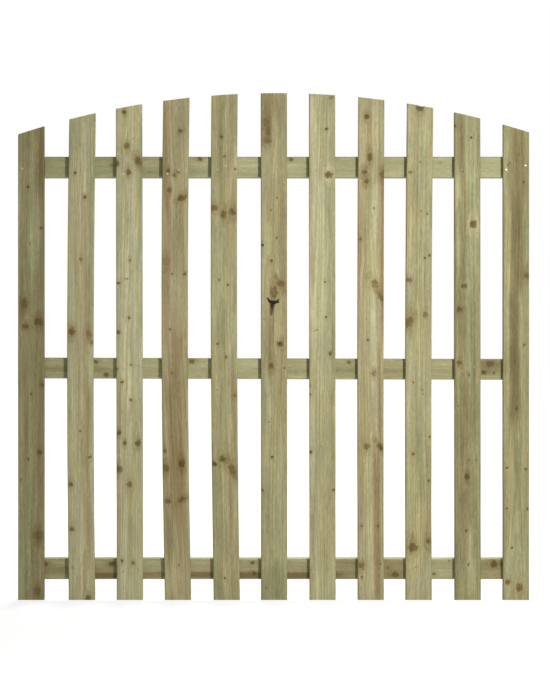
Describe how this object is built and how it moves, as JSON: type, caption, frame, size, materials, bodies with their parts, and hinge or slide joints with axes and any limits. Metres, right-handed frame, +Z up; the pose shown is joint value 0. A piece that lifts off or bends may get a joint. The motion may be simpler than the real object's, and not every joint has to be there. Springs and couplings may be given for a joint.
{
  "type": "picket fence panel",
  "caption": "Timber picket fence panel with an arched top, upright boards nailed to the front of horizontal rails, in green pressure-treated softwood.",
  "frame": {"origin": "on the panel's flat left end, at the pickets' feet, midway through the pickets' thickness", "axes": "+X along the panel from its left end to its right end, +Y from the picket face to the rails behind, +Z up"},
  "size_m": [1.828, 0.056, 1.812],
  "materials": {
    "picket_timber": "planed softwood, pale green-brown from pressure treatment, with brown knots",
    "rail_timber": "planed softwood, pale green-brown from pressure treatment, grain along the rail",
    "nail_steel": "galvanised nail heads"
  },
  "bodies": {
    "root": {"picket_01": "picket_timber", "picket_02": "picket_timber", "picket_03": "picket_timber", "picket_04": "picket_timber", "picket_05": "picket_timber", "picket_06": "picket_timber", "picket_07": "picket_timber", "picket_08": "picket_timber", "picket_09": "picket_timber", "picket_10": "picket_timber", "picket_11": "picket_timber", "top_rail": "rail_timber", "middle_rail": "rail_timber", "bottom_rail": "rail_timber"}
  },
  "joints": []
}
